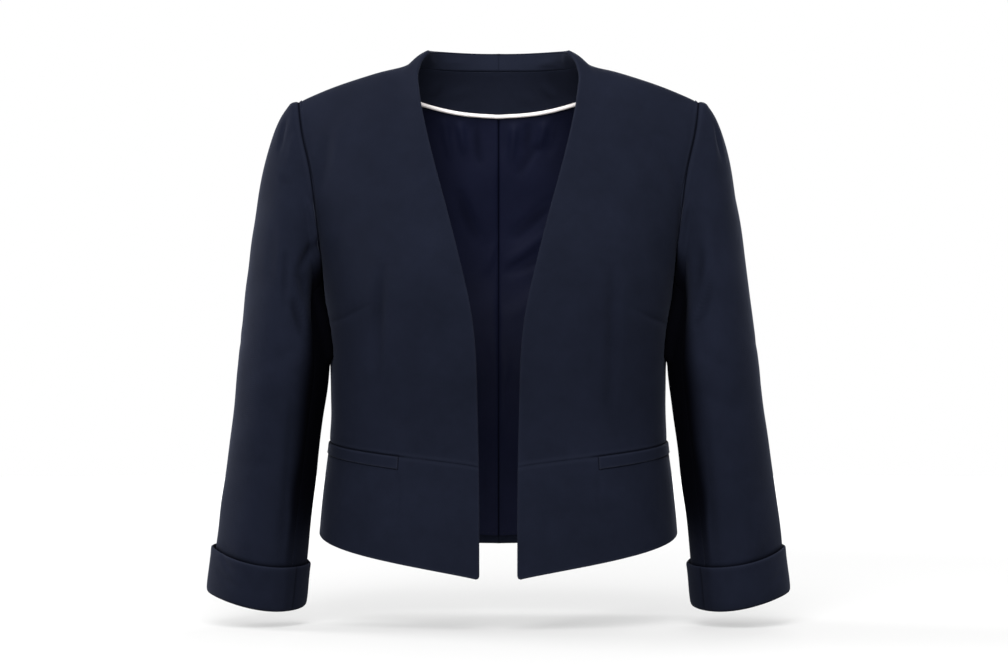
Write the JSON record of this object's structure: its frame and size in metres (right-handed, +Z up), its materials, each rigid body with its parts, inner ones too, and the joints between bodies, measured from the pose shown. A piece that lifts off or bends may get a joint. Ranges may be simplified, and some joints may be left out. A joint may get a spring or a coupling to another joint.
{
  "type": "cropped collarless blazer",
  "caption": "Cropped open-front blazer with an edge-to-edge V neck, a low grown-on back stand, turned-back cuffs, a hem band with welt pockets, and a lined back.",
  "frame": {"origin": "on the midline between the middles of the two shoulder seams, where the wearer's shoulders hold it", "axes": "+Z up, the open front faces -Y, +X to the wearer's left"},
  "size_m": [0.5776, 0.2272, 0.5582],
  "materials": {
    "outer_cloth": "matte fine crepe twill, dark navy",
    "lining_satin": "satin lining, dark blue",
    "piping_ivory": "ivory satin piping"
  },
  "bodies": {
    "root": {"front_left": "outer_cloth", "front_right": "outer_cloth", "front_band_left": "outer_cloth", "front_band_right": "outer_cloth", "back_left": "outer_cloth", "back_right": "outer_cloth", "top_sleeve_left": "outer_cloth", "top_sleeve_right": "outer_cloth", "under_sleeve_left": "outer_cloth", "under_sleeve_right": "outer_cloth", "cuff_left": "outer_cloth", "cuff_right": "outer_cloth", "pocket_welt_left": "outer_cloth", "pocket_welt_right": "outer_cloth", "front_facing_left": "outer_cloth", "front_facing_right": "outer_cloth", "back_lining_left": "lining_satin", "back_lining_right": "lining_satin", "back_neck_facing": "outer_cloth", "neck_piping": "piping_ivory"}
  },
  "joints": []
}
